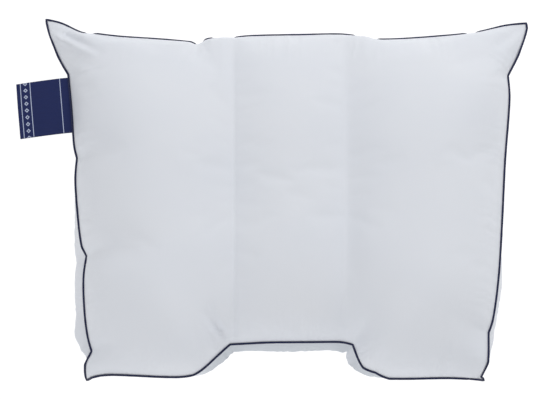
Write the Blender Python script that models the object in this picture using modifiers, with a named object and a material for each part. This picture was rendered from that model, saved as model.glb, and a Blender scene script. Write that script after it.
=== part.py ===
# Contour pillow: a filled case of three upright chambers, cut out for the shoulder, with a piped rim and a
# label sewn into it. It lies on its back. +X runs to the right chamber, +Y to the head edge and +Z up from
# the surface that it lies on.

from collections import namedtuple
import math

import bmesh
import bpy
import numpy as np
from mathutils import Vector

MM = 0.001

# Each panel is a grid: its columns run from the left side to the right, and its rows from the shoulder edge
# to the head edge.
COLUMNS = 52
ROWS = 40
LEFT_CHANNEL = 19
RIGHT_CHANNEL = 33
CORNERS = ((0, 0), (COLUMNS, 0), (COLUMNS, ROWS), (0, ROWS))

# The filling
SEAM_LEVEL = 66 * MM
SEAM_HOLD = 6
EDGE_FULLNESS = 0.58
SIDE_ROUNDING = 96 * MM
SHOULDER_ROUNDING = 128 * MM
HEAD_ROUNDING = 150 * MM
EAR_SIZE = 62 * MM
EAR_FLATNESS = 0.5
SWELL_DEPTH = 18 * MM
SWELL_BLEND = 8 * MM
PINCH_LENGTH = 30 * MM

# The two inner walls hold the panels together along the channels.
CHANNEL_RISE = 51 * MM
CHANNEL_DROP = 54 * MM
CHANNEL_SHARPNESS = 2.1
FOLD_ANGLE = math.radians(40)

PIPING_RADIUS = 1.5 * MM
SEWN_GAP = 0.35 * MM
PIPING_CORNER_POINTS = 5

LABEL_LENGTH = 61 * MM
LABEL_WIDTH = 67 * MM
LABEL_CLOTH = 0.9 * MM
LABEL_FOLD_RADIUS = 0.8 * MM
LABEL_DROOP = 9 * MM
LABEL_DROOP_POWER = 1.6
LABEL_BOW = 2.5 * MM
LABEL_CENTRE_Y = 116 * MM
LABEL_ROWS = 6
LABEL_STEPS_OUT = 8
LABEL_STEPS_ROUND = 4

Chamber = namedtuple("Chamber", "first_column last_column crown underside")
CHAMBERS = (
    Chamber(0, LEFT_CHANNEL, 70 * MM, 75 * MM),
    Chamber(LEFT_CHANNEL, RIGHT_CHANNEL, 64 * MM, 72 * MM),
    Chamber(RIGHT_CHANNEL, COLUMNS, 71 * MM, 75 * MM),
)

# The rim seam, in millimetres. A station's step is its row or column. Front and back say how far the panels
# swell outwards there, pinch how much the cloth draws in at a pucker, and a sharp station is a kink.
Station = namedtuple("Station", "step x y z front back pinch sharp")
SMOOTH = False
SHARP = True

LEFT_SIDE = (
    Station(0, -222, -216, 46, 0, 0, 0.0, SHARP),
    Station(2, -223.5, -200.5, 60, 0, 8, 0.0, SMOOTH),
    Station(4, -215.5, -185.5, 65, 0, 28, 0.3, SHARP),
    Station(5, -219.5, -174, 66, 0, 38, 0.0, SMOOTH),
    Station(8, -224.5, -140, 66, 0, 36, 0.0, SMOOTH),
    Station(12, -226.5, -94, 66, 0, 35, 0.0, SMOOTH),
    Station(14, -223, -70, 66, 0, 38, 0.35, SHARP),
    Station(15, -229, -59, 66, 0, 34, 0.0, SMOOTH),
    Station(18, -234, -24, 66, 0, 29, 0.0, SMOOTH),
    Station(22, -238, 26, 67, 0, 24, 0.0, SMOOTH),
    Station(24, -236, 50, 67, 0, 20, 0.2, SHARP),
    Station(25, -239.5, 61, 67, 0, 16, 0.0, SMOOTH),
    Station(29, -243, 106, 67, 0, 4, 0.0, SMOOTH),
    Station(33, -248, 154, 67, 0, 0, 0.2, SHARP),
    Station(35, -258.5, 172, 64, 0, 0, 0.0, SMOOTH),
    Station(38, -272.5, 205, 62, 0, 0, 0.0, SMOOTH),
    Station(40, -277, 223.5, 61, 0, 0, 0.0, SHARP),
)

RIGHT_SIDE = (
    Station(0, 254, -217.5, 46, 0, 0, 0.0, SHARP),
    Station(1, 249.5, -215, 53, 0, 8, 0.0, SMOOTH),
    Station(3, 257, -198, 63, 0, 18, 0.0, SMOOTH),
    Station(6, 257.5, -162.5, 66, 0, 29, 0.3, SHARP),
    Station(7, 262, -151.5, 66, 0, 28, 0.0, SMOOTH),
    Station(12, 270, -94, 66, 0, 30, 0.0, SMOOTH),
    Station(18, 276, -22, 66, 0, 28, 0.0, SMOOTH),
    Station(24, 280.5, 50, 66, 0, 24, 0.15, SMOOTH),
    Station(31, 287.5, 128.5, 67, 4, 8, 0.0, SMOOTH),
    Station(33, 285.5, 152.5, 67, 16, 0, 0.15, SHARP),
    Station(35, 295.5, 172, 65, 0, 0, 0.0, SMOOTH),
    Station(38, 307.5, 201, 62, 0, 0, 0.0, SMOOTH),
    Station(39, 311, 213, 62, 0, 0, 0.0, SMOOTH),
    Station(40, 310.5, 219.5, 61, 0, 0, 0.0, SHARP),
)

SHOULDER_EDGE = (
    Station(0, -222, -216, 46, 0, 0, 0.0, SHARP),
    Station(1, -216, -214, 56, 0, 0, 0.0, SMOOTH),
    Station(3, -195, -212.5, 64, 0, 0, 0.0, SMOOTH),
    Station(10, -116, -215.5, 66, 0, 4, 0.0, SMOOTH),
    Station(12, -95, -212, 66, 0, 18, 0.0, SMOOTH),
    Station(14, -80.5, -202, 66, 0, 29, 0.0, SMOOTH),
    Station(16, -67, -190, 66, 0, 28, 0.0, SMOOTH),
    Station(18, -51, -175.5, 66, 0, 31, 0.12, SHARP),
    Station(19, -44.5, -175, 66, 0, 28, 0.0, SMOOTH),
    Station(20, -37, -174.5, 66, 0, 26, 0.0, SMOOTH),
    Station(24, 1, -172, 66, 0, 28, 0.0, SMOOTH),
    Station(31, 71, -172, 66, 0, 27, 0.0, SMOOTH),
    Station(33, 87, -173, 66, 0, 30, 0.1, SMOOTH),
    Station(34, 97, -176, 66, 0, 34, 0.0, SHARP),
    Station(35, 101, -188, 66, 0, 36, 0.0, SMOOTH),
    Station(37, 109, -203.5, 66, 0, 29, 0.0, SMOOTH),
    Station(39, 123.5, -208.5, 66, 0, 24, 0.15, SHARP),
    Station(41, 140, -216.5, 65, 0, 12, 0.0, SMOOTH),
    Station(48, 213, -216.5, 64, 0, 0, 0.0, SMOOTH),
    Station(51, 246, -217.5, 57, 0, 0, 0.0, SMOOTH),
    Station(52, 254, -217.5, 46, 0, 0, 0.0, SHARP),
)

HEAD_EDGE = (
    Station(0, -277, 223.5, 61, 0, 0, 0.0, SHARP),
    Station(2, -258, 219, 61, 0, 0, 0.0, SMOOTH),
    Station(4, -241, 209.5, 64, 10, 0, 0.0, SMOOTH),
    Station(5, -233, 205.5, 66, 16, 0, 0.1, SHARP),
    Station(7, -207, 202.5, 67, 4, 8, 0.0, SMOOTH),
    Station(12, -126, 197, 67, 4, 10, 0.0, SMOOTH),
    Station(14, -99.5, 193.5, 67, 14, 8, 0.0, SMOOTH),
    Station(15, -90.5, 188.5, 67, 16, 4, 0.25, SHARP),
    Station(16, -82, 196, 67, 10, 4, 0.0, SMOOTH),
    Station(17, -73, 198.5, 67, 14, 8, 0.0, SMOOTH),
    Station(19, -46, 200, 67, 14, 10, 0.0, SMOOTH),
    Station(21, -28, 202, 67, 4, 10, 0.0, SMOOTH),
    Station(28, 40, 203.5, 67, 2, 10, 0.0, SMOOTH),
    Station(33, 88, 204, 67, 8, 10, 0.0, SMOOTH),
    Station(35, 110.5, 200.5, 67, 17, 10, 0.0, SMOOTH),
    Station(37, 132, 197.5, 67, 10, 10, 0.0, SMOOTH),
    Station(43, 195, 201, 67, 2, 10, 0.0, SMOOTH),
    Station(48, 254, 207.5, 66, 15, 0, 0.0, SMOOTH),
    Station(50, 283, 216, 64, 2, 0, 0.0, SMOOTH),
    Station(52, 310.5, 219.5, 61, 0, 0, 0.0, SHARP),
)

# The main creases of the front panel, from one end to the other, in millimetres. A ridge has a negative
# depth. Each is shallower by CREASE_FADE at its second end.
CREASE_FADE = 0.6
Crease = namedtuple("Crease", "x1 y1 x2 y2 width depth")
CREASES = (
    Crease(-250, 207, -214, 180, 11, -4.5),
    Crease(-236, 184, -205, 170, 12, 3.0),
    Crease(-53, -172, -80, -148, 10, 3.5),
    Crease(96, -178, 112, -152, 10, 2.5),
    Crease(286, 148, 262, 158, 11, 3.0),
    Crease(-88, 184, -92, 160, 9, 2.5),
)

PERCALE = ("percale", (0.72, 0.76, 0.84), 0.72)
NAVY_CORD = ("navy_cord", (0.012, 0.016, 0.062), 0.62)
NAVY_WEAVE = ("navy_weave", (0.010, 0.022, 0.100), 0.55)


def clear_scene():
    for item in list(bpy.data.objects):
        bpy.data.objects.remove(item, do_unlink=True)


def make_material(finish):
    name, colour, roughness = finish
    material = bpy.data.materials.new(name)
    material.use_nodes = True
    shader = material.node_tree.nodes["Principled BSDF"]
    shader.inputs["Base Color"].default_value = (*colour, 1.0)
    shader.inputs["Roughness"].default_value = roughness
    shader.inputs["Metallic"].default_value = 0.0
    return material


def trace_side(stations):
    """One row of numbers for each grid step along a side, smooth but for its sharp stations."""
    points = np.array([station[1:7] for station in stations], dtype=float)
    steps = [station.step for station in stations]
    last = len(stations) - 1

    def slope(index, segment):
        if stations[index].sharp or index in (0, last):
            return (points[segment + 1] - points[segment]) / (steps[segment + 1] - steps[segment])
        return (points[index + 1] - points[index - 1]) / (steps[index + 1] - steps[index - 1])

    rows = []
    for segment in range(last):
        span = steps[segment + 1] - steps[segment]
        leaving = slope(segment, segment) * span
        arriving = slope(segment + 1, segment) * span
        for step in range(span):
            t = step / span
            smooth = (2 * t**3 - 3 * t**2 + 1) * points[segment] + (3 * t**2 - 2 * t**3) * points[segment + 1]
            smooth += (t**3 - 2 * t**2 + t) * leaving + (t**3 - t**2) * arriving
            plain = (1 - t) * points[segment] + t * points[segment + 1]
            rows.append(np.concatenate((smooth[:3], plain[3:])))
    rows.append(points[last])
    rows = np.array(rows)
    rows[:, :5] *= MM
    return rows


def fill_between(left, right, shoulder, head, hold):
    """Fills a grid between its four sides. Each side's hold on the inside fades with the power hold."""
    across = np.linspace(0, 1, len(shoulder))[:, None, None]
    along = np.linspace(0, 1, len(left))[None, :, None]
    by_left, by_right = (1 - across) ** hold, across**hold
    by_shoulder, by_head = (1 - along) ** hold, along**hold
    filled = by_left * left[None] + by_right * right[None]
    filled = filled + by_shoulder * shoulder[:, None] + by_head * head[:, None]
    for by_side, by_end, corner in (
        (by_left, by_shoulder, shoulder[0]),
        (by_right, by_shoulder, shoulder[-1]),
        (by_left, by_head, head[0]),
        (by_right, by_head, head[-1]),
    ):
        filled = filled - by_side * by_end * corner
    return filled


def lay_plan(left, right, shoulder, head):
    """The grid's places seen from above, one chamber after another, with straight channels between them."""
    along = np.linspace(0, 1, ROWS + 1)[:, None]
    lengthwise = {0: left, COLUMNS: right}
    for column in (LEFT_CHANNEL, RIGHT_CHANNEL):
        lengthwise[column] = (1 - along) * shoulder[column] + along * head[column]
    plan = np.zeros((COLUMNS + 1, ROWS + 1, 2))
    for chamber in CHAMBERS:
        first, last = chamber.first_column, chamber.last_column
        own = slice(first, last + 1)
        plan[own] = fill_between(lengthwise[first], lengthwise[last], shoulder[own], head[own], 1)
    return plan


def nearest_on_side(plan, side):
    """How far each grid point is from a side, which way the side lies from it, and the side's values there."""
    start, run = side[:-1], side[1:] - side[:-1]
    offset = plan[:, :, None, :] - start[None, None, :, :2]
    share = (offset * run[:, :2]).sum(-1) / (run[:, :2] ** 2).sum(-1)
    foot = start + np.clip(share, 0, 1)[..., None] * run
    towards = foot[..., :2] - plan[:, :, None, :]
    distance = np.linalg.norm(towards, axis=-1)
    nearest = distance.min(-1)
    weight = np.exp((nearest[..., None] - distance) / SWELL_BLEND)
    weight /= weight.sum(-1)[..., None]
    values = (foot * weight[..., None]).sum(-2)
    towards = (towards * weight[..., None]).sum(-2)
    towards /= np.maximum(np.linalg.norm(towards, axis=-1), 0.01 * MM)[..., None]
    return nearest, towards, values


def rounded(distance, reach):
    inward = np.clip(distance / reach, 0, 1)
    return (1 - (1 - inward) ** 2) ** EDGE_FULLNESS


def chamber_section(which, valley):
    """Height across the columns, with a crown in each chamber and a valley at each channel."""
    heights = np.zeros(COLUMNS + 1)
    for chamber in CHAMBERS:
        crown = getattr(chamber, which)
        for column in range(chamber.first_column, chamber.last_column + 1):
            share = (column - chamber.first_column) / (chamber.last_column - chamber.first_column)
            from_first = 1.0 if chamber.first_column == 0 else min(1.0, 2 * share)
            from_last = 1.0 if chamber.last_column == COLUMNS else min(1.0, 2 * (1 - share))
            swell = 1 - (1 - min(from_first, from_last)) ** CHANNEL_SHARPNESS
            heights[column] = valley + (crown - valley) * swell
    return heights[:, None]


def crease_depth(plan):
    total = np.zeros(plan.shape[:2])
    for crease in CREASES:
        start = np.array((crease.x1, crease.y1)) * MM
        run = np.array((crease.x2, crease.y2)) * MM - start
        share = np.clip(((plan - start) @ run) / (run @ run), 0, 1)
        distance = np.linalg.norm(plan - start - share[..., None] * run, axis=-1)
        fade = 1 - CREASE_FADE * share
        total += crease.depth * MM * fade * np.exp(-((distance / (crease.width * MM)) ** 2))
    return total


def shape_panels():
    """Places of the front and back panels' grid points, as two arrays of columns, rows and x, y, z."""
    sides = [trace_side(stations) for stations in (LEFT_SIDE, RIGHT_SIDE, SHOULDER_EDGE, HEAD_EDGE)]
    plan = lay_plan(*(side[:, :2] for side in sides))
    seam = SEAM_LEVEL + fill_between(*(side[:, 2:3] - SEAM_LEVEL for side in sides), SEAM_HOLD)[..., 0]

    filled = np.ones(seam.shape)
    pinched = np.ones(seam.shape)
    inside = np.ones(seam.shape)
    push_front = np.zeros(plan.shape)
    push_back = np.zeros(plan.shape)
    for side, reach in zip(sides, (SIDE_ROUNDING, SIDE_ROUNDING, SHOULDER_ROUNDING, HEAD_ROUNDING)):
        distance, towards, values = nearest_on_side(plan, side)
        filled *= rounded(distance, reach)
        pinched *= 1 - values[..., 5] * np.exp(-distance / PINCH_LENGTH)
        inside *= np.minimum(distance / SWELL_DEPTH, 1)
        swell = np.maximum(distance / SWELL_DEPTH, 1) * np.exp(np.minimum(1 - distance / SWELL_DEPTH, 0))
        push_front += (values[..., 3] * swell)[..., None] * towards
        push_back += (values[..., 4] * swell)[..., None] * towards
    push_front *= inside[..., None]
    push_back *= inside[..., None]
    for corner in (plan[0, 0], plan[-1, 0], plan[0, -1], plan[-1, -1]):
        distance = np.linalg.norm(plan - corner, axis=-1)
        filled *= 1 - EAR_FLATNESS * np.exp(-((distance / EAR_SIZE) ** 2))

    shape = filled * pinched
    rise = chamber_section("crown", CHANNEL_RISE) * shape - crease_depth(plan) * filled
    drop = chamber_section("underside", CHANNEL_DROP) * shape
    front = np.dstack((plan + push_front, seam + rise))
    back = np.dstack((plan + push_back, np.maximum(seam - drop, 0)))
    return front, back


def inward(column, row):
    return min(max(column, 1), COLUMNS - 1), min(max(row, 1), ROWS - 1)


def make_case(front, back):
    """Both panels as grids, sewn together along the rim into one closed solid."""
    shell = bmesh.new()
    for places, outwards in ((front, True), (back, False)):
        panel = bmesh.ops.create_grid(shell, x_segments=COLUMNS, y_segments=ROWS, size=0.5)
        vertices = {}
        for vertex in panel["verts"]:
            column = round((vertex.co.x + 0.5) * COLUMNS)
            row = round((vertex.co.y + 0.5) * ROWS)
            vertex.co = Vector(places[column, row])
            vertices[column, row] = vertex
        for corner in CORNERS:
            bmesh.ops.connect_vert_pair(shell, verts=[vertices[corner], vertices[inward(*corner)]])
        if not outwards:
            faces = {face for vertex in panel["verts"] for face in vertex.link_faces}
            bmesh.ops.reverse_faces(shell, faces=list(faces))
    bmesh.ops.remove_doubles(shell, verts=shell.verts, dist=0.01 * MM)
    mesh = bpy.data.meshes.new("case")
    shell.to_mesh(mesh)
    shell.free()
    mesh.shade_smooth()
    mesh.set_sharp_from_angle(angle=FOLD_ANGLE)
    return bpy.data.objects.new("case", mesh)


def walk_rim():
    """The rim's grid places, counterclockwise from above, starting at the left end of the shoulder edge."""
    places = [(column, 0) for column in range(COLUMNS)]
    places += [(COLUMNS, row) for row in range(ROWS)]
    places += [(column, ROWS) for column in range(COLUMNS, 0, -1)]
    places += [(0, row) for row in range(ROWS, 0, -1)]
    return places


def outward_from_seam(along, to_front, to_back):
    """Direction that halves the outer angle between the panels, and the reach that clears them both."""
    along = along.normalized()
    to_front = (to_front - along * to_front.dot(along)).normalized()
    to_back = (to_back - along * to_back.dot(along)).normalized()
    outward = (along.cross(to_front - to_back) - to_front - to_back).normalized()
    half_angle = min(outward.angle(to_front), outward.angle(to_back), math.pi / 2)
    return outward, (PIPING_RADIUS + SEWN_GAP) / math.sin(half_angle)


def piping_route(front, back):
    rim = walk_rim()
    route = []
    for index, (column, row) in enumerate(rim):
        here = Vector(front[column, row])
        arriving = here - Vector(front[rim[index - 1]])
        leaving = Vector(front[rim[(index + 1) % len(rim)]]) - here
        inner = inward(column, row)
        to_front = Vector(front[inner]) - here
        to_back = Vector(back[inner]) - here
        if (column, row) in CORNERS:
            first, reach = outward_from_seam(arriving, to_front, to_back)
            last, reach = outward_from_seam(leaving, to_front, to_back)
            for point in range(PIPING_CORNER_POINTS):
                turn = first.lerp(last, point / (PIPING_CORNER_POINTS - 1)).normalized()
                route.append(here + turn * reach)
        else:
            outward, reach = outward_from_seam(arriving.normalized() + leaving.normalized(), to_front, to_back)
            mitre = math.cos(arriving.angle(leaving) / 2)
            route.append(here + outward * reach / mitre)
    return route


def make_piping(route):
    curve = bpy.data.curves.new("piping", "CURVE")
    curve.dimensions = "3D"
    curve.bevel_depth = PIPING_RADIUS
    curve.bevel_resolution = 2
    curve.render_resolution_u = 0
    spline = curve.splines.new("POLY")
    spline.points.add(len(route) - 1)
    for point, place in zip(spline.points, route):
        point.co = (*place, 1.0)
    spline.use_cyclic_u = True
    return bpy.data.objects.new("piping", curve)


def make_label(front):
    """A strip folded back on itself at its outer end, with both ends at the piping of the left side."""
    rim = [Vector(place) for place in front[0]]
    seat = 2 * PIPING_RADIUS + 2 * SEWN_GAP + LABEL_CLOTH / 2
    lower = next(i for i, place in enumerate(rim) if place.y > LABEL_CENTRE_Y - LABEL_WIDTH / 2)
    upper = next(i for i, place in enumerate(rim) if place.y > LABEL_CENTRE_Y + LABEL_WIDTH / 2) - 1
    along = (rim[upper] - rim[lower]).normalized()
    middle = rim[lower] + along * ((LABEL_CENTRE_Y - rim[lower].y) / along.y)
    outward = Vector((-along.y, along.x, 0)).normalized()
    straight = LABEL_LENGTH - LABEL_FOLD_RADIUS
    upper_layer = [(straight * step / LABEL_STEPS_OUT, LABEL_FOLD_RADIUS) for step in range(LABEL_STEPS_OUT)]
    section = list(upper_layer)
    for step in range(LABEL_STEPS_ROUND + 1):
        angle = math.pi / 2 - math.pi * step / LABEL_STEPS_ROUND
        section.append((straight + LABEL_FOLD_RADIUS * math.cos(angle), LABEL_FOLD_RADIUS * math.sin(angle)))
    section += [(out, -height) for out, height in reversed(upper_layer)]

    strip = bmesh.new()
    grid = bmesh.ops.create_grid(strip, x_segments=len(section) - 1, y_segments=LABEL_ROWS, size=0.5)
    for vertex in grid["verts"]:
        out, height = section[round((vertex.co.x + 0.5) * (len(section) - 1))]
        across = vertex.co.y
        share = out / LABEL_LENGTH
        sag = LABEL_DROOP * share**LABEL_DROOP_POWER + LABEL_BOW * share * (2 * across) ** 2
        place = middle + along * (across * LABEL_WIDTH) + outward * (seat + out)
        vertex.co = place + Vector((0, 0, height - sag))
    mesh = bpy.data.meshes.new("label")
    strip.to_mesh(mesh)
    strip.free()
    mesh.shade_smooth()
    label = bpy.data.objects.new("label", mesh)
    cloth = label.modifiers.new("cloth", "SOLIDIFY")
    cloth.thickness = LABEL_CLOTH
    cloth.offset = 0
    return label


def centre_on_origin(pieces, frame):
    """Moves the empty that carries the pieces, so that the origin is under the middle of their common box."""
    bpy.context.view_layer.update()
    graph = bpy.context.evaluated_depsgraph_get()
    places = [vertex.co.copy() for piece in pieces for vertex in piece.evaluated_get(graph).to_mesh().vertices]
    for axis in (0, 1):
        reach = [place[axis] for place in places]
        frame.location[axis] = -(min(reach) + max(reach)) / 2


def main():
    clear_scene()
    collection = bpy.data.collections.new("contour_pillow")
    bpy.context.scene.collection.children.link(collection)
    frame = bpy.data.objects.new("pillow_frame", None)
    collection.objects.link(frame)
    front, back = shape_panels()
    pieces = (
        (make_case(front, back), PERCALE),
        (make_piping(piping_route(front, back)), NAVY_CORD),
        (make_label(front), NAVY_WEAVE),
    )
    for piece, finish in pieces:
        piece.data.materials.append(make_material(finish))
        piece.parent = frame
        collection.objects.link(piece)
    centre_on_origin([piece for piece, finish in pieces], frame)


main()
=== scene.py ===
import math

import bmesh
import bpy
import numpy as np
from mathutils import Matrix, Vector
from mathutils.kdtree import KDTree


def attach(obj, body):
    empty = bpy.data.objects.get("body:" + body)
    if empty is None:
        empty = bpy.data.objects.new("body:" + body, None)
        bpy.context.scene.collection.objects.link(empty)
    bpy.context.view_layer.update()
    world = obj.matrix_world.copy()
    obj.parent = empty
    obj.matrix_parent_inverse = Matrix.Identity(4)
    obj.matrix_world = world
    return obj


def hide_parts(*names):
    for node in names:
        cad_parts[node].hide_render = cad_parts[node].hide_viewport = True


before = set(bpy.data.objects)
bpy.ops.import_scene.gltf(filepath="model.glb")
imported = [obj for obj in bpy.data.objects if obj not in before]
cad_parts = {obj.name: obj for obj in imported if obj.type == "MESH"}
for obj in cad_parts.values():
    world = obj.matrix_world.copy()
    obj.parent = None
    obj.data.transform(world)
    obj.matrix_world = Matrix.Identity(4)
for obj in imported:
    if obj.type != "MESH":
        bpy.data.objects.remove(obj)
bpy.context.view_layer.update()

mm = 0.001
turn = 2 * math.pi


# shader maths: wires add, subtract, multiply and compare as plain numbers do
class Wire:
    def __init__(self, recipe, socket):
        self.recipe = recipe
        self.socket = socket

    def maths(self, operation, *values):
        return self.recipe.node("ShaderNodeMath", {"operation": operation}, dict(enumerate(values)))

    def __add__(self, other):
        return self.maths("ADD", self, other)

    def __radd__(self, other):
        return self.maths("ADD", other, self)

    def __sub__(self, other):
        return self.maths("SUBTRACT", self, other)

    def __rsub__(self, other):
        return self.maths("SUBTRACT", other, self)

    def __mul__(self, other):
        return self.maths("MULTIPLY", self, other)

    def __rmul__(self, other):
        return self.maths("MULTIPLY", other, self)

    def __lt__(self, other):
        return self.maths("LESS_THAN", self, other)

    def __gt__(self, other):
        return self.maths("GREATER_THAN", self, other)

    def __abs__(self):
        return self.maths("ABSOLUTE", self)

    def sine(self):
        return self.maths("SINE", self)

    def bounce(self, width):
        return self.maths("PINGPONG", self, width)


class Recipe:
    def __init__(self, name):
        self.material = bpy.data.materials.new(name)
        self.material.use_nodes = True
        self.tree = self.material.node_tree
        self.tree.nodes.clear()
        self.shader = self.tree.nodes.new("ShaderNodeBsdfPrincipled")
        output = self.tree.nodes.new("ShaderNodeOutputMaterial")
        self.tree.links.new(self.shader.outputs["BSDF"], output.inputs["Surface"])

    def plug(self, value, socket):
        if isinstance(value, Wire):
            self.tree.links.new(value.socket, socket)
        else:
            socket.default_value = value

    def node(self, kind, settings=None, values=None, output=0):
        node = self.tree.nodes.new(kind)
        for name, value in (settings or {}).items():
            setattr(node, name, value)
        for name, value in (values or {}).items():
            self.plug(value, node.inputs[name])
        return Wire(self, node.outputs[output])

    def finish(self, **values):
        for name, value in values.items():
            self.plug(value, self.shader.inputs[name.replace("_", " ")])
        return self.material

    def mix(self, mask, low, high):
        return self.node("ShaderNodeMix", {"data_type": "RGBA"}, {0: mask, 6: low, 7: high}, 2)

    def layUv(self, name):
        uv = self.node("ShaderNodeUVMap", {"uv_map": name})
        across = self.node("ShaderNodeSeparateXYZ", None, {0: uv})
        along = Wire(self, across.socket.node.outputs[1])
        return uv, across, along

    def stretched(self, vector, *scale):
        return self.node("ShaderNodeMapping", None, {"Vector": vector, "Scale": scale})

    def noise(self, vector, scale, detail=2.0):
        return self.node("ShaderNodeTexNoise", None, {"Vector": vector, "Scale": scale, "Detail": detail})

    def bump(self, height, distance, **extra):
        return self.node("ShaderNodeBump", None, {"Height": height, "Distance": distance, **extra})


def ink(red, green, blue):  # a colour as a paint program shows it
    tones = [tone / 255 for tone in (red, green, blue)]
    return (*(tone / 12.92 if tone < 0.04 else ((tone + 0.055) / 1.055) ** 2.4 for tone in tones), 1.0)


def addPiece(name, shell, material):
    mesh = bpy.data.meshes.new(name)
    shell.to_mesh(mesh)
    shell.free()
    piece = bpy.data.objects.new(name, mesh)
    bpy.context.scene.collection.objects.link(piece)
    mesh.materials.append(material)
    mesh.shade_smooth()
    return piece


def applyModifiers(piece):
    graph = bpy.context.evaluated_depsgraph_get()
    shaped = piece.evaluated_get(graph)
    mesh = bpy.data.meshes.new_from_object(shaped, preserve_all_data_layers=True, depsgraph=graph)
    piece.modifiers.clear()
    old, piece.data = piece.data, mesh
    mesh.name = old.name
    bpy.data.meshes.remove(old)


def readPoints(mesh):
    flat = np.empty(len(mesh.vertices) * 3, dtype=np.float32)
    mesh.vertices.foreach_get("co", flat)
    return flat.reshape(-1, 3).astype(float)


def writePoints(mesh, points):
    mesh.vertices.foreach_set("co", points.astype(np.float32).ravel())
    mesh.update()


def readNormals(mesh):
    flat = np.empty(len(mesh.vertices) * 3, dtype=np.float32)
    mesh.vertex_normals.foreach_get("vector", flat)
    return flat.reshape(-1, 3).astype(float)


def distanceToLine(points, start, end):  # and how far along the line each point lies, from 0 to 1
    run = np.subtract(end, start)
    share = np.clip((points - start) @ run / (run @ run), 0, 1)
    return np.linalg.norm(points - start - share[:, None] * run, axis=1), share


# camera first: high on the shoulder side, square to the pillow
view = {
    "target": Vector((0, -4.5, 66)) * mm,
    "elevation": math.radians(80),
    "distance": 3.0,
    "lens": 163.5,
}


def addCamera():
    data = bpy.data.cameras.new("camera")
    data.lens = view["lens"]
    data.sensor_width = 36
    camera = bpy.data.objects.new("camera", data)
    back = Vector((0, -math.cos(view["elevation"]), math.sin(view["elevation"])))
    camera.location = view["target"] + back * view["distance"]
    camera.rotation_euler = (math.pi / 2 - view["elevation"], 0, 0)
    bpy.context.scene.collection.objects.link(camera)
    bpy.context.scene.camera = camera


addCamera()
print("camera placed")

percaleLook = {
    "colour": ink(230, 233, 239),
    "shade": ink(224, 228, 236),
    # painted shade: the colour the back panel's cloth is multiplied by where it lies in shade in the shoulder
    # cut-out
    "under": (0.77, 0.79, 0.80, 1.0),
    "thread": 0.34 * mm,
    "threadRelief": 0.03 * mm,
    "slubRelief": 0.05 * mm,
}


def makePercale():
    recipe = Recipe("percale")
    uv, across, along = recipe.layUv("cloth")
    warp = (across * (turn / percaleLook["thread"])).sine()
    weft = (along * (turn / percaleLook["thread"])).sine()
    weave = warp * weft
    warpSlub = recipe.noise(recipe.stretched(uv, 1500.0, 60.0, 1.0), 1.0)
    weftSlub = recipe.noise(recipe.stretched(uv, 60.0, 1500.0, 1.0), 1.0)
    mottle = recipe.noise(recipe.stretched(uv, 14.0, 9.0, 1.0), 1.0, 3.0)
    cloth = recipe.mix(mottle, percaleLook["shade"], percaleLook["colour"])
    # painted shade: the back panel in the shoulder cut-out is darkened in its colour by the mask that
    # shadeUnder writes
    under = recipe.node("ShaderNodeAttribute", {"attribute_name": "under"}, None, 2)
    paintedShadeTint = recipe.mix(under, (1.0, 1.0, 1.0, 1.0), percaleLook["under"])
    colour = recipe.node("ShaderNodeVectorMath", {"operation": "MULTIPLY"}, {0: cloth, 1: paintedShadeTint})
    slubs = recipe.bump(warpSlub + weftSlub, percaleLook["slubRelief"], Strength=0.35)
    threads = recipe.bump(weave, percaleLook["threadRelief"], Strength=0.5, Normal=slubs)
    return recipe.finish(
        Base_Color=colour, Roughness=0.62, Normal=threads, Sheen_Weight=0.12, Sheen_Roughness=0.4,
        Specular_IOR_Level=0.25,
    )


cordLook = {
    "colour": ink(24, 28, 58),
    "thread": ink(48, 56, 98),
    "twillPitch": 0.6 * mm,
}


def makeCordCloth():
    recipe = Recipe("navy_cord")
    uv, around, along = recipe.layUv("cloth")
    ribs = ((around + along) * (turn / cordLook["twillPitch"])).sine()
    wear = recipe.noise(recipe.stretched(uv, 260.0, 160.0, 1.0), 1.0, 4.0)
    colour = recipe.mix(wear * (ribs * 0.3 + 0.5), cordLook["colour"], cordLook["thread"])
    return recipe.finish(
        Base_Color=colour, Roughness=0.7, Normal=recipe.bump(ribs, 0.05 * mm, Strength=0.7), Sheen_Weight=0.2,
        Specular_IOR_Level=0.2,
    )


labelLook = {
    "colour": ink(16, 34, 92),
    "shade": ink(10, 25, 76),
    "motif": ink(186, 196, 222),
    "ribPitch": 0.45 * mm,
    "stripes": (12 * mm, 49 * mm, 61 * mm),
    "stripeWidth": 0.45 * mm,
    "rowAt": 55 * mm,
    "lozenge": 2.7 * mm,
    "lozengePitch": 8.4 * mm,
}


def makeLabelCloth():
    recipe = Recipe("navy_weave")
    uv, out, across = recipe.layUv("cloth")
    ribs = (out * (turn / labelLook["ribPitch"])).sine()
    picks = (across * (turn / labelLook["ribPitch"])).sine()
    sheen = recipe.noise(recipe.stretched(uv, 40.0, 900.0, 1.0), 1.0, 3.0)
    ground = recipe.mix(sheen, labelLook["shade"], labelLook["colour"])
    row = abs(out - labelLook["rowAt"]) + across.bounce(labelLook["lozengePitch"] / 2)
    motif = (row < labelLook["lozenge"]) * (row > labelLook["lozenge"] * 0.45)
    for place in labelLook["stripes"]:
        motif = motif + (abs(out - place) < labelLook["stripeWidth"])
    colour = recipe.mix(motif, ground, labelLook["motif"])
    return recipe.finish(
        Base_Color=colour, Roughness=0.48, Normal=recipe.bump(ribs + picks * 0.6, 0.05 * mm, Strength=0.6),
        Specular_IOR_Level=0.3,
    )


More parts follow.
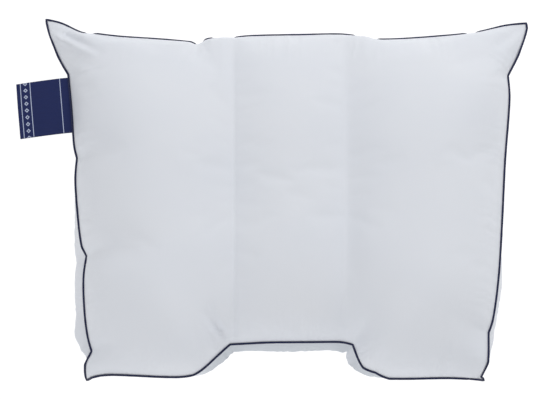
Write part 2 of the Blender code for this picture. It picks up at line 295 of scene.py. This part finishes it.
# the filled case: the solid's own panels, made finer, swelled as cloth and sewn along the channels
case = {
    "weld": 0.02 * mm,
    "seamReach": 1.5 * mm,
    "groups": ("seam", "channel", "back"),
    "leftChannel": ((-45.3, -178.0), (-46.8, 197.0)),  # its ends seen from above, in mm
    "rightChannel": ((86.2, -176.0), (87.2, 201.0)),
    "channelReach": 2.5 * mm,
    "leftCrease": 0.75,
    "kinkAngle": 0.25,  # how far the rim turns at a kink, in radians
    "kinkCrease": 0.6,
    "cornerAngle": 1.0,
    "pressure": 3.0,
    "slack": 0.008,
    "mass": 0.15,
    "stretch": 20,
    "shear": 8,
    "bend": 1.5,
    "quality": 6,
    "frames": 20,
    "ease": 0.6,
    "cap": 5 * mm,
    "restHeight": 0.2 * mm,
    "earsFrom": 165 * mm,  # the two head corners stay as sewn, past these lines
    "earsMiddle": 20 * mm,
    "earsReach": 238 * mm,
    "grooveWidth": 2.2 * mm,
    "grooveDepth": 0.5 * mm,
    "bulgeFade": 4.5 * mm,
}


def findSeam(shell):
    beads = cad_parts["piping"].data.vertices
    tree = KDTree(len(beads))
    for index, bead in enumerate(beads):
        tree.insert(bead.co, index)
    tree.balance()
    near = {vert for vert in shell.verts if tree.find(vert.co)[2] < case["seamReach"]}
    links = {vert: {edge.other_vert(vert) for edge in vert.link_edges} & near for vert in near}
    corners = {vert for vert in near if len(links[vert]) == 2}
    rim = [
        edge for edge in shell.edges
        if near.issuperset(edge.verts) and not links[edge.verts[0]] & links[edge.verts[1]] & corners
    ]
    ends = [vert for edge in rim for vert in edge.verts]
    print("seam found:", len(rim), "edges,", sum(ends.count(vert) != 2 for vert in set(ends)), "loose ends")
    return rim


def panelOf(shell, seam):
    stack = [max(shell.faces, key=lambda face: face.calc_center_median().z)]
    front = set(stack)
    while stack:
        for edge in stack.pop().edges:
            if edge not in seam:
                for face in edge.link_faces:
                    if face not in front:
                        front.add(face)
                        stack.append(face)
    return front


def copyCase(material):
    shell = bmesh.new()
    shell.from_mesh(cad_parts["case"].data)
    bmesh.ops.remove_doubles(shell, verts=shell.verts, dist=case["weld"])
    seam = set(findSeam(shell))
    for edge in seam:
        edge.seam = True
    front = panelOf(shell, seam)
    back = [face for face in shell.faces if face not in front]
    weights = shell.verts.layers.deform.new()
    seamGroup, channelGroup, backGroup = range(len(case["groups"]))
    for face in back:
        for vert in face.verts:
            vert[weights][backGroup] = 1.0
    for panel in (list(front), back):
        bmesh.ops.join_triangles(
            shell, faces=panel, angle_face_threshold=math.pi, angle_shape_threshold=math.pi, cmp_seam=True
        )
    triangles = sum(len(face.verts) == 3 for face in shell.faces)
    print("panels joined:", len(shell.faces), "faces,", triangles, "triangles")

    creaseLayer = shell.edges.layers.float.new("crease_edge")
    kinks = shell.verts.layers.float.new("crease_vert")
    for edge in shell.edges:
        if edge.seam:
            edge[creaseLayer] = 1.0
            for vert in edge.verts:
                vert[weights][seamGroup] = 1.0
                ends = [rim.other_vert(vert).co - vert.co for rim in vert.link_edges if rim.seam]
                bend = math.pi - ends[0].angle(ends[1])
                if bend > case["kinkAngle"]:
                    vert[kinks] = 1.0 if bend > case["cornerAngle"] else case["kinkCrease"]
    for channel, sharpness in (("leftChannel", case["leftCrease"]), ("rightChannel", 0.0)):
        points = np.array([vert.co[:2] for vert in shell.verts])
        distance = distanceToLine(points, *(np.array(end) * mm for end in case[channel]))[0]
        sewn = {vert for vert, gap in zip(shell.verts, distance) if gap < case["channelReach"]}
        for edge in shell.edges:
            if edge.verts[0] in sewn and edge.verts[1] in sewn and not edge.seam:
                edge[creaseLayer] = sharpness
                for vert in edge.verts:
                    vert[weights][channelGroup] = 1.0
    piece = addPiece("filled_case", shell, material)
    for name in case["groups"]:
        piece.vertex_groups.new(name=name)
    return piece


def subdivide(piece, rounds):
    finer = piece.modifiers.new("finer", "SUBSURF")
    finer.levels = finer.render_levels = rounds
    finer.boundary_smooth = "PRESERVE_CORNERS"
    applyModifiers(piece)


def groupWeights(piece, name):
    wanted = piece.vertex_groups[name].index
    weights = np.zeros(len(piece.data.vertices))
    for vert in piece.data.vertices:
        for group in vert.groups:
            if group.group == wanted:
                weights[vert.index] = group.weight
    return weights


def unwrap(piece):
    mesh = piece.data
    for layer in list(mesh.uv_layers):
        mesh.uv_layers.remove(layer)
    mesh.uv_layers.new(name="cloth")
    bpy.ops.object.select_all(action="DESELECT")
    piece.select_set(True)
    bpy.context.view_layer.objects.active = piece
    bpy.ops.object.mode_set(mode="EDIT")
    bpy.ops.mesh.select_all(action="SELECT")
    bpy.ops.uv.unwrap(method="CONFORMAL", margin=0.01)
    bpy.ops.object.mode_set(mode="OBJECT")


def swell(piece):
    rest = readPoints(piece.data)
    hold = piece.vertex_groups.new(name="hold")
    seam, channel = groupWeights(piece, "seam"), groupWeights(piece, "channel")
    resting = rest[:, 2] < case["restHeight"]
    ears = (rest[:, 1] > case["earsFrom"]) & (np.abs(rest[:, 0] - case["earsMiddle"]) > case["earsReach"])
    for index in np.nonzero((seam > 0.99) | (channel > 0.99) | resting | ears)[0]:
        hold.add([int(index)], 1.0, "REPLACE")
    cloth = piece.modifiers.new("filling", "CLOTH")
    settings = cloth.settings
    settings.quality = case["quality"]
    settings.mass = case["mass"]
    settings.tension_stiffness = settings.compression_stiffness = case["stretch"]
    settings.shear_stiffness = case["shear"]
    settings.bending_stiffness = case["bend"]
    settings.use_pressure = True
    settings.uniform_pressure_force = case["pressure"]
    settings.shrink_min = -case["slack"]
    settings.vertex_group_mass = "hold"
    settings.effector_weights.gravity = 0
    cloth.collision_settings.use_collision = False
    cloth.collision_settings.use_self_collision = False
    cloth.point_cache.frame_start = 1
    cloth.point_cache.frame_end = case["frames"]
    scene = bpy.context.scene
    for number in range(1, case["frames"] + 1):
        scene.frame_set(number)
    applyModifiers(piece)
    scene.frame_set(1)
    move = readPoints(piece.data) - rest
    length = np.linalg.norm(move, axis=1)
    print("cloth moved up to", round(length.max() / mm, 1), "mm, mean", round(length.mean() / mm, 2))
    capped = rest + move * case["ease"] * np.minimum(1, case["cap"] / np.maximum(length, 1e-9))[:, None]
    capped[:, 2] = np.maximum(capped[:, 2], 0)
    writePoints(piece.data, capped)
    piece.vertex_groups.remove(piece.vertex_groups["hold"])


def sewChannel(piece):
    points, normals = readPoints(piece.data), readNormals(piece.data)
    distance = distanceToLine(points[:, :2], *(np.array(end) * mm for end in case["leftChannel"]))[0]
    depth = case["grooveDepth"] * np.exp(-((distance / case["grooveWidth"]) ** 2))
    depth *= (1 - groupWeights(piece, "seam")) * (normals[:, 2] > 0.2)  # on the front panel alone
    writePoints(piece.data, points - normals * depth[:, None])


# each crease: start and end seen from above in mm, half width in mm, depth in mm, a ridge where negative
creases = (
    ((-273, 202), (-213, 167), 4, -6.0),
    ((-252, 199), (-206, 171), 4.2, 3.4),
    ((304, 210), (258, 172), 8, 2.6),
    ((306, 204), (276, 172), 6, -2.4),
    ((-54, -172), (-86, -144), 5, 3.6),
    ((-62, -166), (-76, -132), 4, 2.0),
    ((-48, -168), (-56, -150), 4, 1.4),
    ((100, -172), (118, -150), 6, 1.8),
    ((-90, 182), (-96, 160), 4, 1.8),
    ((-84, 184), (-78, 166), 4, 1.4),
    ((-98, 182), (-112, 164), 5, 1.0),
    ((-214, -186), (-186, -178), 5, 1.6),
    ((-221, -72), (-196, -68), 5, 1.6),
    ((-234, 47), (-212, 50), 5, 1.2),
    ((-245, 150), (-224, 146), 5, 1.2),
    ((256, -166), (232, -160), 5, 1.4),
    ((284, 148), (262, 144), 5, 1.4),
    ((124, -206), (132, -184), 5, 1.4),
    ((-86, -196), (-94, -178), 4, 1.0),
)


def creaseCase(piece):
    points, normals = readPoints(piece.data), readNormals(piece.data)
    depth = np.zeros(len(points))
    for start, end, width, deep in creases:
        distance, share = distanceToLine(points[:, :2], np.array(start) * mm, np.array(end) * mm)
        depth += deep * mm * (1 - share * share) * np.exp(-((distance / (width * mm)) ** 2))
    depth *= (1 - groupWeights(piece, "seam")) * np.clip(normals[:, 2] * 4, 0, 1)
    writePoints(piece.data, points - normals * depth[:, None])


def walkSeam(piece):  # the rim seam's points in order, each with the way out of the pillow
    shell = bmesh.new()
    shell.from_mesh(piece.data)
    shell.verts.ensure_lookup_table()
    ahead = {}
    for edge in shell.edges:
        if edge.seam:
            first, second = (vert.index for vert in edge.verts)
            ahead.setdefault(first, []).append(second)
            ahead.setdefault(second, []).append(first)
    start = min(ahead, key=lambda index: shell.verts[index].co.y)
    step = max(ahead[start], key=lambda index: shell.verts[index].co.x)
    path = [start]
    while step != start and len(path) <= len(ahead):
        path.append(step)
        step = next((index for index in ahead[step] if index != path[-2]), start)
    places = [shell.verts[index].co.copy() for index in path]
    outwards = [
        sum((face.normal for face in shell.verts[index].link_faces), Vector()).normalized() for index in path
    ]
    shell.free()
    print("seam walked:", len(path), "of", len(ahead), "points")
    return list(zip(places, outwards))


gathers = {  # fine puckers where the panels are eased on to the piping
    "reach": 16 * mm,
    "clear": 3 * mm,
    "depth": 0.55 * mm,
    "pitch": 11 * mm,
}


def seamTree(path):
    tree = KDTree(len(path))
    for index, (place, outward) in enumerate(path):
        tree.insert(place, index)
    tree.balance()
    return tree


def gatherSeam(piece):
    path = walkSeam(piece)
    tree = seamTree(path)
    places = [place for place, outward in path]
    walked = [0.0]
    for before, after in zip(places, places[1:]):
        walked.append(walked[-1] + (after - before).length)
    points, normals = readPoints(piece.data), readNormals(piece.data)
    for index, point in enumerate(points):
        nearest, distance = tree.find(point)[1:]
        if distance < 4 * gathers["reach"]:
            phase = turn * walked[nearest] / gathers["pitch"]
            sway = math.sin(phase + 1.7 * math.sin(phase * 0.31))  # uneven, as hand-eased cloth is
            ripple = sway * (0.55 + 0.45 * math.sin(phase * 0.117 + 1))
            inward = max(distance - gathers["clear"], 0) / gathers["reach"]
            fade = inward * math.exp(1 - inward)
            points[index] -= normals[index] * gathers["depth"] * ripple * fade
    points[:, 2] = np.maximum(points[:, 2], 0)
    writePoints(piece.data, points)


# where the back panel swells out past the seam: centre in mm, half width in mm, push in mm
bulges = (
    ((-224, -196, 55), 11, (-13, 0, -2)),
    ((-232, -168, 50), 18, (-5, 0, 0)),
    ((260, -200, 58), 10, (4, -1, -3)),
    ((264, -176, 54), 14, (4, 0, -2)),
    ((89, -196, 50), 11, (-3, -6, 0)),
    ((22, -190, 48), 60, (0, -2.6, 0)),
    ((264, -112, 50), 42, (3, 0, 0)),
    ((-238, -95, 50), 40, (-2.5, 0, 0)),
)
# where the whole rim settles a little, seam and all, in the same terms
eases = (
    ((20, -178, 55), 78, (0, -2.1, 0)),
    ((292, 196, 60), 36, (1.6, 0, 0)),
    ((290, 60, 60), 110, (1.2, 0, 0)),
    ((266, -110, 60), 80, (1.5, 0, 0)),
    ((262, -205, 52), 9, (2.4, 0, 0)),
    ((-222, -214, 50), 14, (-1.2, -1.7, 0)),
    ((-87, -210, 52), 22, (0, -2.2, 0)),
    ((125, -212, 52), 20, (0, -2.4, 0)),
    ((-266, 196, 55), 40, (-1, 1, 0)),
    ((-86, 194, 62), 18, (0, 1.8, 0)),
    ((-215, 194, 62), 20, (0, 1.3, 0)),
)


def bulgeCase(piece):
    points = readPoints(piece.data)
    tree = seamTree(walkSeam(piece))
    below = np.array([tree.find(point)[0].z - point[2] for point in points])
    free = groupWeights(piece, "back") * np.clip(below / case["bulgeFade"], 0, 1)
    for spots, share in ((eases, 1), (bulges, free)):
        for centre, width, push in spots:
            distance = np.linalg.norm(points - np.array(centre) * mm, axis=1)
            points += (share * np.exp(-((distance / (width * mm)) ** 2)))[:, None] * np.array(push) * mm
    writePoints(piece.data, points)


underShade = {  # painted shade, darkening the colour of the back panel below the shoulder cut-out, where it lies in shade: from where, and how fast it sets in
    "left": -95 * mm,
    "right": 145 * mm,
    "sideFade": 25 * mm,
    "foot": -120 * mm,
    "footFade": 40 * mm,
    "top": 67 * mm,
    "topFade": 3 * mm,
}


def shadeUnder(piece):
    points, normals = readPoints(piece.data), readNormals(piece.data)
    fromLeft = np.clip((points[:, 0] - underShade["left"]) / underShade["sideFade"], 0, 1)
    fromRight = np.clip((underShade["right"] - points[:, 0]) / underShade["sideFade"], 0, 1)
    toFoot = np.clip((underShade["foot"] - points[:, 1]) / underShade["footFade"], 0, 1)
    below = np.clip((underShade["top"] - points[:, 2]) / underShade["topFade"], 0, 1)
    facing = np.clip(-normals[:, 1] * 1.6 - 0.2, 0, 1)
    # painted shade mask: strongest on the back panel below the seam that faces the shoulder cut-out
    shade = fromLeft * fromRight * toFoot * (facing * below)
    attribute = piece.data.attributes.new("under", "FLOAT", "POINT")
    attribute.data.foreach_set("value", shade.astype(np.float32))


percale = makePercale()
filled = copyCase(percale)
subdivide(filled, 1)
swell(filled)
print("case swelled")
subdivide(filled, 1)
sewChannel(filled)
creaseCase(filled)
bulgeCase(filled)
gatherSeam(filled)
shadeUnder(filled)
unwrap(filled)
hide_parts("case")
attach(filled, "root")
print("case made:", len(filled.data.polygons), "faces")


# piping: a bias strip over a cord, let into the seam all the way round
piping = {
    "radius": 1.3 * mm,
    "sides": 12,
    "sink": 0.35 * mm,
    "headFrom": 175 * mm,
    "headFade": 12 * mm,
    "headSink": 0.75 * mm,
    "coverTuck": 1.2 * mm,
    "coverDrop": 2.0 * mm,
    "coverFade": 4,
    "covered": ((-230, -219), (-94, -84), (-73, -46), (101, 128), (236, 250)),  # along the head edge, in mm
    "lumps": 0.05,
}


def pipingTuck(place):  # how far in and how far down: the front panel folds over some of the head edge
    head = min(max((place.y - piping["headFrom"]) / piping["headFade"], 0), 1)
    folded = 0.0
    for low, high in piping["covered"]:
        ramp = min(place.x / mm - low, high - place.x / mm) / piping["coverFade"] + 0.5
        folded = max(folded, head * min(max(ramp, 0), 1))
    inside = piping["sink"] + piping["headSink"] * head + piping["coverTuck"] * folded
    return inside, piping["coverDrop"] * folded


def makePiping(piece, material):
    path = walkSeam(piece)
    centres = []
    count = len(path)
    for index, (place, outward) in enumerate(path):
        ahead = path[(index + 1) % count][0] - path[index - 1][0]
        outward = (outward - ahead.normalized() * outward.dot(ahead.normalized())).normalized()
        inside, drop = pipingTuck(place)
        centres.append(place + outward * (piping["radius"] - inside) - Vector((0, 0, drop)))
    rings = len(centres)
    length = sum((centres[index] - centres[index - 1]).length for index in range(rings))
    shell = bmesh.new()
    layer = shell.loops.layers.uv.new("cloth")
    sides = piping["sides"]
    grid = bmesh.ops.create_grid(shell, x_segments=rings, y_segments=sides, size=0.5)
    cell = {}
    for vert in grid["verts"]:
        cell[vert] = round((vert.co.x + 0.5) * rings), round((vert.co.y + 0.5) * sides)
    for vert, (ring, side) in cell.items():
        centre = centres[ring % rings]
        ahead = (centres[(ring + 1) % rings] - centres[ring % rings - 1]).normalized()
        level = (Vector((0, 0, 1)) - ahead * ahead.z).normalized()
        angle = turn * side / sides
        lump = math.sin(ring % rings * 0.9) * math.sin(ring % rings * 0.37 + 2)
        radius = piping["radius"] * (1 + piping["lumps"] * lump)
        vert.co = centre + (level * math.cos(angle) + ahead.cross(level) * math.sin(angle)) * radius
    for face in shell.faces:
        for loop in face.loops:
            ring, side = cell[loop.vert]
            loop[layer].uv = (turn * piping["radius"] * side / sides, length * ring / rings)
    bmesh.ops.remove_doubles(shell, verts=shell.verts, dist=0.001 * mm)
    bmesh.ops.recalc_face_normals(shell, faces=shell.faces)
    print("piping", round(length, 3), "m round the rim")
    return addPiece("rim_piping", shell, material)


bead = makePiping(filled, makeCordCloth())
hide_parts("piping")
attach(bead, "root")
print("piping made")


# label: one woven strip, folded back on itself, its ends caught under the piping
label = {
    "centre": 113 * mm,
    "width": 68.5 * mm,
    "length": 66 * mm,
    "cloth": 0.45 * mm,
    "fold": 0.7 * mm,
    "droop": 9 * mm,
    "droopCurve": 1.6,
    "bow": 2.5 * mm,
    "tuck": 1.8 * mm,
    "tuckFade": 5 * mm,
    "wave": 0.5 * mm,
    "waves": 9,
    "rimLeftOf": -200 * mm,
    "stepsOut": 36,
    "stepsRound": 8,
    "rows": 36,
}


def makeLabel(piece, material):
    left = [place for place, outward in walkSeam(piece) if place.x < label["rimLeftOf"]]
    low = min(left, key=lambda place: abs(place.y - label["centre"] + label["width"] / 2))
    high = min(left, key=lambda place: abs(place.y - label["centre"] - label["width"] / 2))
    along = (high - low).normalized()
    middle = low + along * ((label["centre"] - low.y) / along.y)
    outward = Vector((-along.y, along.x, 0)).normalized()
    straight = label["length"] - label["fold"]
    section = [(straight * step / label["stepsOut"], label["fold"]) for step in range(label["stepsOut"])]
    for step in range(label["stepsRound"] + 1):
        angle = math.pi / 2 - math.pi * step / label["stepsRound"]
        section.append((straight + label["fold"] * math.cos(angle), label["fold"] * math.sin(angle)))
    section += [(out, -height) for out, height in reversed(section[: label["stepsOut"]])]
    columns = len(section) - 1
    walked = [0.0]
    for before, after in zip(section, section[1:]):
        walked.append(walked[-1] + math.dist(before, after))

    strip = bmesh.new()
    layer = strip.loops.layers.uv.new("cloth")
    grid = bmesh.ops.create_grid(strip, x_segments=columns, y_segments=label["rows"], size=0.5)
    cell = {vert: (round((vert.co.x + 0.5) * columns), vert.co.y) for vert in grid["verts"]}
    for vert, (column, across) in cell.items():
        out, height = section[column]
        share = out / label["length"]
        sag = label["droop"] * share ** label["droopCurve"] + label["bow"] * share * (2 * across) ** 2
        tuck = label["tuck"] * math.exp(-out / label["tuckFade"])
        wave = label["wave"] * math.sin(label["waves"] * across + 1) * share
        place = middle + along * (across * label["width"]) + outward * out
        vert.co = place + Vector((0, 0, height - sag - tuck + wave))
    for face in strip.faces:
        for loop in face.loops:
            column, across = cell[loop.vert]
            loop[layer].uv = (walked[column], (across + 0.5) * label["width"])
    piece = addPiece("side_label", strip, material)
    cloth = piece.modifiers.new("cloth", "SOLIDIFY")
    cloth.thickness = label["cloth"]
    cloth.offset = 0
    applyModifiers(piece)
    piece["flatLength"] = walked[-1]
    return piece


tab = makeLabel(filled, makeLabelCloth())
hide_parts("label")
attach(tab, "root")
print("label made")


studio = {
    "floor": (0.3, 0.3, 0.3, 1.0),
    "floorSize": 16,
    "floorDrop": 0.3 * mm,
    "glow": 0.82,
    "world": 0.495,
    "lights": (  # name, place, size and power
        ("key", (1.05, 2.45, 1.5), 1.6, 31),
        ("fill", (-0.2, -1.7, 2.1), 2.0, 15),
        ("side", (-2.2, 0.6, 1.3), 1.8, 3.5),
        ("top", (0.4, 0.2, 2.6), 2.4, 5),
    ),
}


def addFloor():
    shell = bmesh.new()
    bmesh.ops.create_grid(shell, x_segments=4, y_segments=4, size=studio["floorSize"])
    bmesh.ops.translate(shell, vec=(0, 0, -studio["floorDrop"]), verts=shell.verts)
    paint = Recipe("studio_floor").finish(
        Base_Color=studio["floor"], Roughness=0.9,
        Emission_Color=(1, 1, 1, 1), Emission_Strength=studio["glow"],
    )
    floor = addPiece("studio_floor", shell, paint)


def addLight(name, place, size, power):
    data = bpy.data.lights.new(name, "AREA")
    data.shape = "DISK"
    data.size = size
    data.energy = power
    light = bpy.data.objects.new(name, data)
    light.location = place
    light.rotation_euler = (-Vector(place)).to_track_quat("-Z", "Y").to_euler()
    bpy.context.scene.collection.objects.link(light)


def addWorld():
    world = bpy.data.worlds.new("studio")
    world.use_nodes = True
    background = world.node_tree.nodes["Background"]
    background.inputs["Color"].default_value = (1, 1, 1, 1)
    background.inputs["Strength"].default_value = studio["world"]
    bpy.context.scene.world = world


addFloor()
for name, place, size, power in studio["lights"]:
    addLight(name, place, size, power)
addWorld()
bpy.context.scene.view_settings.view_transform = "Standard"
print("studio lit")
